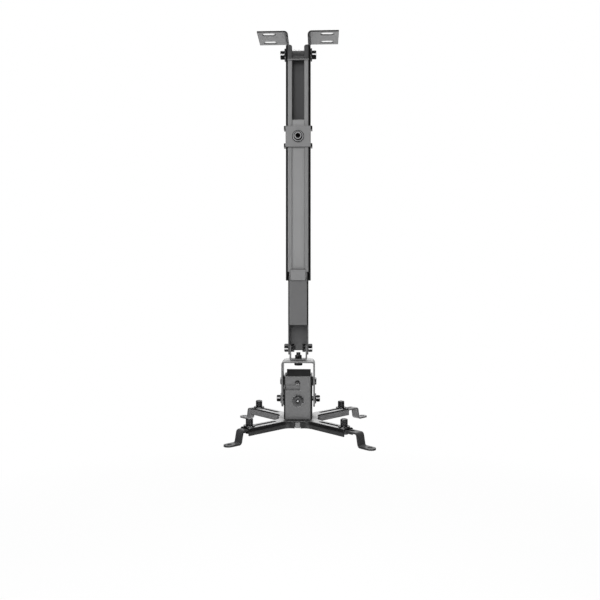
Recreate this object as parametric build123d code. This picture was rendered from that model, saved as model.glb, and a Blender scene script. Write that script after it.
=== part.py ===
"""Projector ceiling mount: two pivoting ceiling brackets, a telescopic channel mast, a tilt and
swivel head and a four-armed spider with sliding legs.

Millimetres. The origin lies in the ceiling plane, on the mast's axis. +Z points up into the
ceiling, -Y is the front, with the clamp screw, and +X is to the right seen from the front.
"""

import os
from math import sqrt

from build123d import *

# Clearances
slide_gap = 0.3
turn_gap = 0.06
face_gap = 0.2

# Ceiling brackets
bracket_sheet = 1.8
flange_length = 37.8
flange_depth = 42.0
bracket_bend = 5.0
slot_length = 17.0
slot_width = 8.0
slot_spacing_x = 75.0
slot_spacing_y = 26.0
pivot_drop = 23.4
bracket_shoulder_drop = 8.0
bracket_neck_width = 7.6
bracket_end_radius = 6.6
ceiling_spacer_radius = 7.0

# Mast: outer channel with a lipped front, and the inner tube that slides in it
outer_width = 32.0
outer_depth = 20.0
outer_sheet = 1.5
outer_bend = 4.0
lip_gap = 15.5
lip_corner = 3.0
outer_top_drop = 13.5
outer_length = 303.5
strip_drop = 8.8
strip_height = 1.4
strip_sheet = 1.4
inner_side_gap = 1.5
inner_sheet = 1.5
inner_bend = 2.0
inner_top_drop = 109.5
inner_length = 299.0
inner_ear_drop = 8.5
fork_pivot_rise = 3.9
cutaway_height = 34.0

# Guide clip at the mouth of the outer channel
clip_width = 19.6
clip_height = 15.0
clip_sheet = 1.4
lip_notch_height = 11.0
lip_notch_width = 4.2

# Clamp plate on the front of the mast
clamp_height = 27.0
clamp_sheet = 2.0
clamp_top_below_inner = 9.0
clamp_tab_height = 4.6
clamp_tab_length = 9.0
clamp_boss_width = 14.0

# Fork under the inner channel
fork_sheet = 1.8
fork_bend = 2.4
fork_arm_width = 9.2
fork_base_depth = 12.0
fork_drop = 13.9

# Yoke that swivels under the fork
swivel_washer_thickness = 0.6
swivel_washer_radius = 5.8
yoke_side_gap = 1.5
yoke_depth = 27.0
yoke_sheet = 2.0
yoke_bend = 4.0
tilt_drop = 26.9
lock_radius = 22.5
yoke_end_drop = 9.8
tilt_limit = 15.0

# Tilt box and the spider's bracket inside it
box_width = 36.0
box_depth = 36.0
box_sheet = 2.0
box_bend = 3.0
box_rise = 8.6
box_fall = 46.2
release_slot_width = 6.2
release_slot_drop = 5.4
release_slot_end = 2.5
release_slot_rise = 5.8
bracket_wall = 1.8
bracket_top_drop = 2.8
bracket_back_rise = 4.8
release_pin_radius = 2.6
release_pin_proud = 0.8

# Spider and legs
arm_width = 17.0
arm_reach = 88.0
arm_height = 9.2
arm_wall = 1.5
arm_bend = 2.4
hub_radius = 27.0
hub_blend = 14.0
hub_tab_width = 6.6
hub_tab_slit = 0.4
arm_slot_inset = 12.0
arm_slot_width = 5.4
arm_slot_bridge = 3.5
leg_screw_inset = 7.0
leg_width = 12.0
leg_sheet = 2.0
leg_bend = 2.0
leg_drop = 17.0
leg_slant = 3.0
leg_tail = 68.0
leg_slot_start = 9.0
leg_slot_width = 5.6
leg_slide_in = 3.2
foot_length = 19.0
foot_hole_radius = 2.75
foot_hole_inset = 7.0
front_left_reach = 96.0
front_right_reach = 107.0
rear_left_reach = 98.5
rear_right_reach = 110.0

# Fasteners
bolt_radius = 3.0
bolt_head_flats = 10.0
bolt_head_height = 5.5
bolt_washer_radius = 8.2
bolt_washer_thickness = 1.6
small_bolt_radius = 2.5
small_head_flats = 9.2
small_head_height = 5.0
nut_height = 4.2
swivel_nut_flats = 7.6
swivel_nut_height = 4.8
swivel_tip = 3.4
rivet_radius = 3.0
rivet_head_radius = 4.6
rivet_head_height = 2.0
lock_head_radius = 4.0
lock_head_height = 5.0
lock_washer_radius = 6.5
lock_washer_thickness = 1.4
button_radius = 5.4
button_height = 3.6
button_washer_radius = 7.6
button_washer_thickness = 1.2
leg_head_radius = 4.2
leg_head_height = 8.6
leg_washer_radius = 7.2
leg_washer_thickness = 1.6
socket_flats = 4.0
socket_depth = 2.4
head_chamfer = 0.7

# Levels worked out from the sizes above
pivot_z = -pivot_drop
outer_top = -outer_top_drop
outer_bottom = outer_top - outer_length
inner_top = -inner_top_drop
inner_bottom = inner_top - inner_length
fork_z = inner_bottom + fork_pivot_rise
fork_base_top = fork_z - fork_drop
fork_base_bottom = fork_base_top - fork_sheet
yoke_top = fork_base_bottom - swivel_washer_thickness
tilt_z = yoke_top - tilt_drop
lock_z = tilt_z - lock_radius
box_top = tilt_z + box_rise
box_bottom = tilt_z - box_fall
spider_top = box_bottom - slide_gap
spider_bottom = spider_top - arm_height
leg_top = spider_top - arm_wall - face_gap
clamp_top = inner_top - clamp_top_below_inner
clamp_z = clamp_top - clamp_height / 2
slot_z = tilt_z - release_slot_drop
pin_z = slot_z + release_slot_rise

# Faces worked out from the sizes above
outer_front = -outer_depth / 2
outer_inside_x = outer_width / 2 - outer_sheet
inner_width = 2 * (outer_inside_x - inner_side_gap)
inner_front = outer_front + outer_sheet + slide_gap
inner_back = outer_depth / 2 - outer_sheet - slide_gap
bracket_face_x = outer_inside_x - face_gap
fork_face_x = inner_width / 2 - inner_sheet - face_gap
box_face_x = box_width / 2
yoke_inside_x = box_face_x + yoke_side_gap
yoke_width = 2 * (yoke_inside_x + yoke_sheet)
box_front = -box_depth / 2
bracket_front = box_front + box_sheet + face_gap
bracket_side_x = box_face_x - box_sheet - face_gap
clamp_back = outer_front - slide_gap
clamp_front = clamp_back - clamp_sheet
pin_x = release_slot_end - release_slot_width / 2

# Reach of the leg screws: near the arms' ends, and inside the slot of the leg that is drawn out least
least_reach = min(front_left_reach, front_right_reach, rear_left_reach, rear_right_reach)
slot_reach = least_reach - leg_slide_in - leg_slot_start - leg_slot_width / 2
leg_screw_reach = min(arm_reach - leg_screw_inset, slot_reach)

# Bores worked out from the fasteners and the running clearance
bolt_bore = bolt_radius + turn_gap
small_bore = small_bolt_radius + turn_gap
rivet_bore = rivet_radius + turn_gap
pin_bore = release_pin_radius + turn_gap

SIDES = (-1, 1)
FRONT = Plane(origin=(0, 0, 0), x_dir=(1, 0, 0), z_dir=(0, -1, 0))
RIGHT = Plane(origin=(0, 0, 0), x_dir=(0, 1, 0), z_dir=(1, 0, 0))


def block(x0, x1, y0, y1, z0, z1):
    """A box between two corners."""
    return Pos((x0 + x1) / 2, (y0 + y1) / 2, (z0 + z1) / 2) * Box(abs(x1 - x0), abs(y1 - y0), abs(z1 - z0))


def rod_x(radius, x0, x1, y, z):
    """A cylinder along X."""
    return Pos((x0 + x1) / 2, y, z) * Rot(0, 90, 0) * Cylinder(radius, abs(x1 - x0))


def rod_y(radius, y0, y1, x, z):
    """A cylinder along Y."""
    return Pos(x, (y0 + y1) / 2, z) * Rot(90, 0, 0) * Cylinder(radius, abs(y1 - y0))


def rod_z(radius, z0, z1, x=0, y=0):
    """A cylinder along Z."""
    return Pos(x, y, (z0 + z1) / 2) * Cylinder(radius, abs(z1 - z0))


def ring_x(outer, inner, x0, x1, y, z):
    """A washer or sleeve along X."""
    reach = abs(x1 - x0)
    return rod_x(outer, x0, x1, y, z) - rod_x(inner, min(x0, x1) - reach, max(x0, x1) + reach, y, z)


def ring_z(outer, inner, z0, z1, x=0, y=0):
    """A washer along Z."""
    reach = abs(z1 - z0)
    return rod_z(outer, z0, z1, x, y) - rod_z(inner, min(z0, z1) - reach, max(z0, z1) + reach, x, y)


def hexagon(flats, height):
    """A hexagonal prism that stands on the XY plane, chamfered round its top."""
    prism = extrude(RegularPolygon(flats / 2, 6, major_radius=False), height)
    corner = flats / sqrt(3)
    cap = Pos(0, 0, height / 2) * Cylinder(corner, height)
    cap = chamfer(cap.edges().group_by(Axis.Z)[-1], head_chamfer)
    return prism & cap


def hex_bolt(radius, flats, height, length):
    """A hexagon bolt with its seat on the XY plane and its shank down."""
    return hexagon(flats, height) + rod_z(radius, -length, head_chamfer)


def cap_screw(radius, head_radius, height, length):
    """A socket screw with its seat on the XY plane and its shank down."""
    head = Pos(0, 0, height / 2) * Cylinder(head_radius, height)
    head = fillet(head.edges().group_by(Axis.Z)[-1], head_chamfer)
    socket = extrude(RegularPolygon(socket_flats / 2, 6, major_radius=False), socket_depth)
    return head + rod_z(radius, -length, head_chamfer) - Pos(0, 0, height - socket_depth) * socket


def nut(flats, height, bore):
    """A hexagon nut that stands on the XY plane."""
    return hexagon(flats, height) - rod_z(bore, -height, 2 * height)


def outwards(part, side, x, y, z):
    """Turns a fastener made along Z so that its head points to the left or right."""
    return Pos(side * x, y, z) * Rot(0, side * 90, 0) * part


def forwards(part, x, y, z):
    """Turns a fastener made along Z so that its head points to the front."""
    return Pos(x, y, z) * Rot(90, 0, 0) * part


def beside(vertices, count, axis, last=False):
    """The corners of a profile that lie lowest, or highest, along an axis."""
    ordered = vertices.sort_by(axis)
    return ordered[-count:] if last else ordered[:count]


def u_profile(width, depth, sheet, bend):
    """A folded U: its web lies on the local X axis and its two sides rise along local Y."""
    outer = Pos(0, depth / 2) * Rectangle(width, depth)
    outer = fillet(beside(outer.vertices(), 2, Axis.Y), bend)
    inner = Pos(0, sheet + depth / 2) * Rectangle(width - 2 * sheet, depth)
    inner = fillet(beside(inner.vertices(), 2, Axis.Y), max(bend - sheet, slide_gap))
    return outer - inner


def side_outline(*shapes):
    """A sketch in the YZ plane, extruded to both sides, to trim folded sheets with."""
    outline = shapes[0]
    for shape in shapes[1:]:
        outline += shape
    return extrude(RIGHT * outline, flange_length + outer_width, both=True)


def ceiling_bracket(side):
    """An angle bracket: a slotted flange against the ceiling and a leg inside the outer channel."""
    inner_x = bracket_face_x - bracket_sheet
    end_x = bracket_face_x + flange_length
    end_z = pivot_z - bracket_end_radius
    outer = Pos((inner_x + end_x) / 2, end_z / 2) * Rectangle(end_x - inner_x, -end_z)
    corner = beside(beside(outer.vertices(), 2, Axis.X), 1, Axis.Y, last=True)
    outer = fillet(corner, bracket_bend)
    space_z = -bracket_sheet
    space = Pos(bracket_face_x + flange_length, space_z + end_z) * Rectangle(2 * flange_length, -2 * end_z)
    corner = beside(beside(space.vertices(), 2, Axis.X), 1, Axis.Y, last=True)
    space = fillet(corner, bracket_bend - bracket_sheet)
    body = extrude(FRONT * (outer - space), flange_depth / 2, both=True)
    body &= side_outline(
        Pos(0, -bracket_shoulder_drop / 2) * Rectangle(flange_depth, bracket_shoulder_drop),
        Pos(0, pivot_z / 2) * Rectangle(bracket_neck_width, pivot_drop),
        Pos(0, pivot_z) * Circle(bracket_end_radius),
    )
    for row in SIDES:
        slot = Pos(slot_spacing_x / 2, row * slot_spacing_y / 2) * SlotOverall(slot_length, slot_width)
        body -= extrude(slot, 2 * bracket_sheet, both=True)
    body -= rod_x(bolt_bore, 0, outer_width, 0, pivot_z)
    return body if side > 0 else mirror(body, Plane.YZ)


def ceiling_fasteners():
    """The two hexagon bolts of the upper pivot, their washers and the sleeve that they draw up to."""
    bolts, washers = [], []
    washer_x = outer_width / 2 + face_gap
    seat_x = washer_x + bolt_washer_thickness
    shank = seat_x - bolt_radius
    for side in SIDES:
        bolt = hex_bolt(bolt_radius, bolt_head_flats, bolt_head_height, shank)
        bolts.append(outwards(bolt, side, seat_x, 0, pivot_z))
        washers.append(ring_x(bolt_washer_radius, bolt_bore, side * washer_x, side * seat_x, 0, pivot_z))
    sleeve_x = bracket_face_x - bracket_sheet
    sleeve = ring_x(ceiling_spacer_radius, bolt_bore, -sleeve_x, sleeve_x, 0, pivot_z)
    return bolts, washers, sleeve


def outer_channel():
    """The lipped channel that hangs from the ceiling brackets."""
    inside_y = outer_depth - 2 * outer_sheet
    tube = RectangleRounded(outer_width, outer_depth, outer_bend)
    tube -= RectangleRounded(2 * outer_inside_x, inside_y, outer_bend - outer_sheet)
    tube -= Pos(0, outer_front) * Rectangle(lip_gap, outer_depth)
    body = extrude(Pos(0, 0, outer_bottom) * tube, outer_length)
    body -= rod_x(bolt_bore, -outer_width, outer_width, 0, pivot_z)
    for side in SIDES:
        body -= block(
            side * (outer_inside_x - lip_notch_width),
            side * outer_inside_x,
            outer_front - outer_sheet,
            outer_front + outer_bend,
            outer_bottom - outer_sheet,
            outer_bottom + lip_notch_height,
        )
    corners = body.edges().filter_by(Axis.Y).group_by(Axis.Z)[-1]
    corners = [edge for edge in corners if abs(abs(edge.center().X) - lip_gap / 2) < face_gap]
    return fillet(corners, lip_corner)


def pivot_strip():
    """The narrow strip across the channel's lips, below the upper pivot."""
    half = (outer_width - outer_bend) / 2
    top = pivot_z - strip_drop
    strip = block(-half, half, outer_front - strip_sheet, outer_front, top - strip_height, top)
    return fillet(strip.edges().filter_by(Axis.Y), strip_height / 3)


def guide_clip():
    """The moulded guide that closes the channel's mouth and bears on the inner tube's face."""
    low = outer_bottom + face_gap
    high = outer_bottom + clip_height
    plate = block(-clip_width / 2, clip_width / 2, outer_front - clip_sheet, outer_front, low, high)
    plate = fillet(plate.edges().filter_by(Axis.Y), clip_sheet)
    tongue_x = lip_gap / 2 - face_gap
    return plate + block(-tongue_x, tongue_x, outer_front, inner_front - slide_gap, low, high - clip_sheet)


def inner_channel():
    """The tube that slides in the mast, cut away before the fork's nuts, with ears at its end."""
    depth = inner_back - inner_front
    ear_end = fork_z - inner_ear_drop
    tube = RectangleRounded(inner_width, depth, inner_bend)
    tube -= RectangleRounded(inner_width - 2 * inner_sheet, depth - 2 * inner_sheet, inner_bend - inner_sheet)
    body = extrude(Pos(0, (inner_front + inner_back) / 2, ear_end) * tube, inner_top - ear_end)
    front_y = (inner_front - depth, inner_front + inner_bend)
    back_y = (inner_back - inner_bend, inner_back + depth)
    for cut_y, cut_z in ((front_y, inner_bottom + cutaway_height), (back_y, inner_bottom)):
        body -= block(-inner_width, inner_width, *cut_y, ear_end - depth, cut_z)
    low_edges = body.edges().filter_by(Axis.X).group_by(Axis.Z)[0]
    body = fillet(low_edges, inner_ear_drop / 2)
    body -= rod_x(small_bore, -inner_width, inner_width, 0, fork_z)
    return body - rod_y(bolt_bore, inner_front - depth, inner_front + depth / 2, 0, clamp_z)


def clamp_plate():
    """The plate over the lips: four folded tabs guide it, and a boss reaches to the inner channel."""
    edge_x = outer_width / 2
    tab_x = edge_x + slide_gap + clamp_sheet
    low = clamp_top - clamp_height
    body = block(-edge_x, edge_x, clamp_front, clamp_back, low, clamp_top)
    for z0 in (low, clamp_top - clamp_tab_height):
        z1 = z0 + clamp_tab_height
        wide = block(-tab_x, tab_x, clamp_front, outer_front + clamp_tab_length, z0, z1)
        wide = fillet(wide.edges().filter_by(Axis.Z).group_by(Axis.Y)[0], clamp_sheet)
        space_x = edge_x + slide_gap
        space_y = (clamp_back, outer_front + 2 * clamp_tab_length)
        body += wide - block(-space_x, space_x, *space_y, z0 - clamp_sheet, z1 + clamp_sheet)
    boss_x = clamp_boss_width / 2
    boss_z = clamp_height / 2 - clamp_tab_height
    body += block(-boss_x, boss_x, clamp_back, inner_front, clamp_z - boss_z, clamp_z + boss_z)
    return body - rod_y(bolt_bore, clamp_front - clamp_sheet, inner_front + clamp_sheet, 0, clamp_z)


def clamp_fasteners():
    """The socket screw of the clamp plate, its washer, and the nut inside the inner channel."""
    seat_y = clamp_front - button_washer_thickness
    nut_y = inner_front + inner_sheet
    shank = nut_y + nut_height - seat_y
    screw = forwards(cap_screw(bolt_radius, button_radius, button_height, shank), 0, seat_y, clamp_z)
    washer = ring_z(button_washer_radius, bolt_bore, 0, button_washer_thickness)
    washer = forwards(washer, 0, clamp_front, clamp_z)
    fixed_nut = nut(bolt_head_flats, nut_height, bolt_bore)
    return screw, washer, forwards(fixed_nut, 0, nut_y + nut_height, clamp_z)


def tilt_fork():
    """The folded U between the inner channel's ears, with the swivel bolt through its base."""
    end_z = fork_z + fork_arm_width / 2
    profile = u_profile(2 * fork_face_x, end_z - fork_base_bottom, fork_sheet, fork_bend)
    body = extrude(FRONT * Pos(0, fork_base_bottom) * profile, fork_base_depth / 2, both=True)
    half_base = fork_base_depth / 2
    half_arm = fork_arm_width / 2
    taper_z = fork_base_top + fork_sheet
    sides = Polygon(
        (-half_base, fork_base_bottom),
        (half_base, fork_base_bottom),
        (half_base, taper_z),
        (half_arm, fork_z),
        (-half_arm, fork_z),
        (-half_base, taper_z),
        align=None,
    )
    body &= side_outline(sides, Pos(0, fork_z) * Circle(half_arm))
    body -= rod_x(small_bore, -inner_width, inner_width, 0, fork_z)
    return body - rod_z(small_bore, fork_base_bottom - fork_sheet, fork_base_top + fork_sheet)


def fork_fasteners():
    """The two pivot bolts of the fork and the nuts inside its arms."""
    bolts, nuts = [], []
    seat_x = inner_width / 2 + face_gap
    nut_x = fork_face_x - fork_sheet
    shank = seat_x - nut_x + nut_height
    for side in SIDES:
        bolt = hex_bolt(small_bolt_radius, small_head_flats, small_head_height, shank)
        bolts.append(outwards(bolt, side, seat_x, 0, fork_z))
        fixed_nut = nut(small_head_flats, nut_height, small_bore)
        nuts.append(outwards(fixed_nut, side, nut_x - nut_height, 0, fork_z))
    return bolts, nuts


def swivel_fasteners():
    """The upright swivel bolt, with its head under the yoke, its nut and the friction washer."""
    seat_z = yoke_top - yoke_sheet - face_gap
    tip_z = fork_base_top + swivel_nut_height + swivel_tip
    bolt = hex_bolt(small_bolt_radius, small_head_flats, nut_height, tip_z - seat_z)
    bolt = Pos(0, 0, seat_z) * Rot(180, 0, 0) * bolt
    top_nut = Pos(0, 0, fork_base_top) * nut(swivel_nut_flats, swivel_nut_height, small_bore)
    washer = ring_z(swivel_washer_radius, small_bore, yoke_top + face_gap / 2, fork_base_bottom)
    return bolt, top_nut, washer


def tilt_yoke():
    """The inverted U that swivels under the fork: its top is rounded at the back, its sides are slotted."""
    end_z = lock_z - yoke_end_drop
    profile = u_profile(yoke_width, yoke_top - end_z, yoke_sheet, yoke_bend)
    body = extrude(FRONT * Pos(0, yoke_top) * Rot(0, 0, 180) * profile, yoke_width, both=True)
    plan = Rectangle(yoke_width, yoke_depth) + Pos(0, (yoke_width - yoke_depth) / 2) * Circle(yoke_width / 2)
    body &= extrude(Pos(0, 0, end_z) * plan, yoke_top - end_z)
    sides = Pos(0, (yoke_top + end_z) / 2) * Rectangle(yoke_depth, yoke_top - end_z)
    sides = fillet(beside(sides.vertices(), 2, Axis.Y), yoke_depth / 3)
    body &= side_outline(sides, Pos(0, yoke_top - yoke_bend / 2) * Rectangle(2 * yoke_width, yoke_bend))
    lock_arc = CenterArc((0, tilt_z), lock_radius, 270 - tilt_limit, 2 * tilt_limit)
    body -= side_outline(SlotArc(lock_arc, 2 * (bolt_radius + slide_gap)))
    body -= rod_x(rivet_bore, -yoke_width, yoke_width, 0, tilt_z)
    return body - rod_z(small_bore, yoke_top - 2 * yoke_sheet, yoke_top + yoke_sheet)


def tilt_fasteners():
    """The pivot rivets of the tilt box and the spacers between the box and the yoke."""
    rivets, spacers = [], []
    head_x = yoke_width / 2
    for side in SIDES:
        shank = rod_x(rivet_radius, side * (box_face_x - box_sheet), side * head_x, 0, tilt_z)
        head = Cylinder(rivet_head_radius, rivet_head_height)
        head = fillet(head.edges().group_by(Axis.Z)[-1], head_chamfer)
        rivets.append(shank + outwards(head, side, head_x + rivet_head_height / 2, 0, tilt_z))
        spacer_x = box_face_x + face_gap
        spacers.append(ring_x(2 * rivet_radius, rivet_bore, side * spacer_x, side * yoke_inside_x, 0, tilt_z))
    return rivets, spacers


def tilt_box():
    """The folded box front and sides that tilt in the yoke, with the stepped release slot."""
    profile = Pos(0, box_front) * u_profile(box_width, box_depth, box_sheet, box_bend)
    body = extrude(Pos(0, 0, box_bottom) * profile, box_top - box_bottom)
    slot_low = slot_z - release_slot_width / 2
    slot_high = slot_z + release_slot_width / 2
    cut_y = (box_front - box_bend, box_front + box_bend)
    body -= block(-box_width, release_slot_end, *cut_y, slot_low, slot_high)
    body -= block(pin_x - release_slot_width / 2, release_slot_end, *cut_y, slot_low, pin_z)
    body -= rod_y(release_slot_width / 2, *cut_y, pin_x, pin_z)
    body -= rod_x(rivet_bore, -box_width, box_width, 0, tilt_z)
    body -= rod_x(bolt_bore, -box_width, box_width, 0, lock_z)
    return body - rod_y(bolt_bore, *cut_y, 0, lock_z)


def spider_bracket():
    """The folded sleeve inside the tilt box: it stands on the spider's hub and its back is raised."""
    top = box_top - bracket_top_drop
    back_top = box_top + bracket_back_rise
    back = box_depth / 2 - box_sheet
    body = block(-bracket_side_x, bracket_side_x, bracket_front, back, spider_top, back_top)
    body = fillet(body.edges().filter_by(Axis.Z), box_bend - box_sheet + face_gap)
    inside_x = bracket_side_x - bracket_wall
    inside_y = (bracket_front + bracket_wall, back - bracket_wall)
    body -= block(-inside_x, inside_x, *inside_y, spider_top - box_fall, back_top + box_rise)
    body -= block(-box_width, box_width, box_front, back - bracket_wall, top, back_top + box_rise)
    body -= rod_x(bolt_bore, -box_width, box_width, 0, lock_z)
    body -= rod_y(bolt_bore, box_front, 0, 0, lock_z)
    return body - rod_y(pin_bore, box_front, 0, pin_x, pin_z)


def release_pin():
    """The pin of the bracket that hangs in the top of the box's release slot."""
    pin = rod_y(release_pin_radius, box_front - release_pin_proud, bracket_front + bracket_wall, pin_x, pin_z)
    return fillet(pin.edges().group_by(Axis.Y)[0], release_pin_proud / 2)


def lock_fasteners():
    """The two tilt lock screws, their washers outside the yoke and nuts inside the bracket."""
    screws, washers, nuts = [], [], []
    washer_x = yoke_width / 2 + face_gap
    seat_x = washer_x + lock_washer_thickness
    nut_x = bracket_side_x - bracket_wall - nut_height
    for side in SIDES:
        screw = cap_screw(bolt_radius, lock_head_radius, lock_head_height, seat_x - nut_x)
        screws.append(outwards(screw, side, seat_x, 0, lock_z))
        washer = ring_x(lock_washer_radius, bolt_bore, side * washer_x, side * seat_x, 0, lock_z)
        washers.append(washer)
        fixed_nut = nut(bolt_head_flats, nut_height, bolt_bore)
        nuts.append(outwards(fixed_nut, side, nut_x, 0, lock_z))
    return screws, washers, nuts


def release_fasteners():
    """The socket screw in the box's front, its washer and the nut behind it."""
    seat_y = box_front - button_washer_thickness
    nut_y = bracket_front + bracket_wall + nut_height
    screw = forwards(cap_screw(bolt_radius, button_radius, button_height, nut_y - seat_y), 0, seat_y, lock_z)
    washer = ring_z(button_washer_radius, bolt_bore, 0, button_washer_thickness)
    washer = forwards(washer, 0, box_front, lock_z)
    fixed_nut = forwards(nut(bolt_head_flats, nut_height, bolt_bore), 0, nut_y, lock_z)
    return screw, washer, fixed_nut


def arms():
    """The four arms by name: the direction in degrees from +X and the reach of the leg."""
    return {
        "rear_right": (45, rear_right_reach),
        "rear_left": (135, rear_left_reach),
        "front_left": (225, front_left_reach),
        "front_right": (315, front_right_reach),
    }


def spider_outline(inset):
    """The plan of the four arms and the hub, with blended corners, drawn in by inset."""
    plan = Circle(hub_radius - inset)
    for angle in (45, 135):
        plan += Rot(0, 0, angle) * Rectangle(2 * arm_reach + inset, arm_width - 2 * inset)
    corners = plan.vertices().filter_by(lambda v: sqrt(v.X**2 + v.Y**2) < hub_radius + arm_wall)
    return fillet(corners, hub_blend + inset)


def spider_base():
    """The pressed spider: a flat, slotted top with flanges turned down, open at the ends of the arms."""
    body = extrude(Pos(0, 0, spider_bottom) * spider_outline(0), arm_height)
    body = fillet(body.faces().sort_by(Axis.Z)[-1].outer_wire().edges(), arm_bend)
    hollow = Pos(0, 0, spider_bottom - arm_height) * spider_outline(arm_wall)
    body -= extrude(hollow, 2 * arm_height - arm_wall)
    slot_start = hub_radius + arm_slot_inset
    slot_end = leg_screw_reach - small_bore - arm_slot_bridge
    slot = SlotOverall(slot_end - slot_start, arm_slot_width)
    slot = extrude(Pos((slot_start + slot_end) / 2, 0, spider_top) * slot, 2 * arm_wall, both=True)
    hole = rod_z(small_bore, spider_bottom, spider_top + arm_wall, leg_screw_reach)
    for angle, _ in arms().values():
        body -= Rot(0, 0, angle) * slot
        body -= Rot(0, 0, angle) * hole
    flat_x = hub_tab_width / 2
    slit_x = flat_x + hub_tab_slit
    rim_y = (-hub_radius - arm_wall, -hub_radius + 2 * arm_wall)
    body -= block(-slit_x, slit_x, *rim_y, spider_bottom - arm_wall, spider_top - arm_wall)
    tab_y = -hub_radius + arm_bend
    body += block(-flat_x, flat_x, tab_y, tab_y + arm_wall, spider_bottom, spider_top - arm_wall / 2)
    return body


def leg(reach):
    """A sliding leg along +X: a slotted tail in the arm, a slanted drop and a foot with a hole."""
    slope = leg_slant / (leg_drop - leg_sheet)
    across = leg_sheet * sqrt(1 + slope**2)
    tip = reach + leg_slant + foot_length
    foot_top = leg_top - leg_drop + leg_sheet
    foot_low = leg_top - leg_drop
    profile = Polygon(
        (reach - leg_tail, leg_top),
        (reach, leg_top),
        (reach + leg_slant, foot_top),
        (tip, foot_top),
        (tip, foot_low),
        (reach + leg_slant + slope * leg_sheet - across, foot_low),
        (reach + slope * leg_sheet - across, leg_top - leg_sheet),
        (reach - leg_tail, leg_top - leg_sheet),
        align=None,
    )
    levels = profile.vertices().sort_by(Axis.X)[2:6].sort_by(Axis.Y)
    profile = fillet([levels[0], levels[-1]], leg_bend + leg_sheet)
    bend_x = (reach + leg_slant, reach + slope * leg_sheet - across)
    bends = [corner for corner in profile.vertices() if min(abs(corner.X - x) for x in bend_x) < turn_gap]
    profile = fillet(bends, leg_bend)
    body = extrude(FRONT * profile, leg_width / 2, both=True)
    plan_start = reach - leg_tail
    plan = Pos((plan_start + tip) / 2, 0) * Rectangle(tip - plan_start, leg_width)
    plan = fillet(beside(plan.vertices(), 2, Axis.X, last=True), leg_width / 2 - turn_gap)
    body &= extrude(Pos(0, 0, foot_low - leg_drop) * plan, 3 * leg_drop)
    slot_end = leg_tail - leg_slot_width / 2
    slot = SlotOverall(slot_end - leg_slot_start, leg_slot_width)
    slot = Pos(reach - (leg_slot_start + slot_end) / 2, 0, leg_top) * slot
    body -= extrude(slot, 2 * leg_sheet, both=True)
    return body - rod_z(foot_hole_radius, foot_low - leg_sheet, foot_top + leg_sheet, tip - foot_hole_inset)


def leg_fasteners():
    """The socket screws over the arms' ends, their washers, and the nuts under the legs."""
    screws, washers, nuts = [], [], []
    seat_z = spider_top + leg_washer_thickness
    nut_z = leg_top - leg_sheet - face_gap - nut_height
    for angle, _ in arms().values():
        place = Rot(0, 0, angle) * Pos(leg_screw_reach, 0, 0)
        screw = cap_screw(small_bolt_radius, leg_head_radius, leg_head_height, seat_z - nut_z)
        screws.append(place * Pos(0, 0, seat_z) * screw)
        washers.append(place * ring_z(leg_washer_radius, small_bore, spider_top, seat_z))
        fixed_nut = nut(small_head_flats, nut_height, small_bore)
        nuts.append(place * Pos(0, 0, nut_z) * fixed_nut)
    return screws, washers, nuts


def build_nodes():
    """Every piece by its node's name: a part, or a list of like parts."""
    nodes = {
        "ceiling_bracket_left": ceiling_bracket(-1),
        "ceiling_bracket_right": ceiling_bracket(1),
        "outer_channel": outer_channel(),
        "pivot_strip": pivot_strip(),
        "guide_clip": guide_clip(),
        "inner_channel": inner_channel(),
        "clamp_plate": clamp_plate(),
        "tilt_fork": tilt_fork(),
        "tilt_yoke": tilt_yoke(),
        "tilt_box": tilt_box(),
        "spider_bracket": spider_bracket(),
        "release_pin": release_pin(),
        "spider_base": spider_base(),
    }
    nodes["ceiling_bolts"], nodes["ceiling_washers"], nodes["ceiling_spacer"] = ceiling_fasteners()
    nodes["clamp_screw"], nodes["clamp_washer"], nodes["clamp_nut"] = clamp_fasteners()
    nodes["fork_bolts"], nodes["fork_nuts"] = fork_fasteners()
    nodes["swivel_bolt"], nodes["swivel_nut"], nodes["swivel_washer"] = swivel_fasteners()
    nodes["tilt_rivets"], nodes["tilt_spacers"] = tilt_fasteners()
    nodes["lock_screws"], nodes["lock_washers"], nodes["lock_nuts"] = lock_fasteners()
    nodes["release_screw"], nodes["release_washer"], nodes["release_nut"] = release_fasteners()
    nodes["leg_screws"], nodes["leg_washers"], nodes["leg_nuts"] = leg_fasteners()
    for name, (angle, reach) in arms().items():
        nodes["leg_" + name] = Rot(0, 0, angle) * leg(reach)
    return nodes


def main():
    """Writes one STEP file for each node."""
    os.makedirs("parts", exist_ok=True)
    for name, shape in build_nodes().items():
        whole = Compound(children=shape) if isinstance(shape, list) else shape
        export_step(whole, f"parts/{name}.step")


main()
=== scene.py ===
"""Finishes, small details and studio stage for a projector ceiling mount."""

from math import cos, pi, radians, sin

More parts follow.
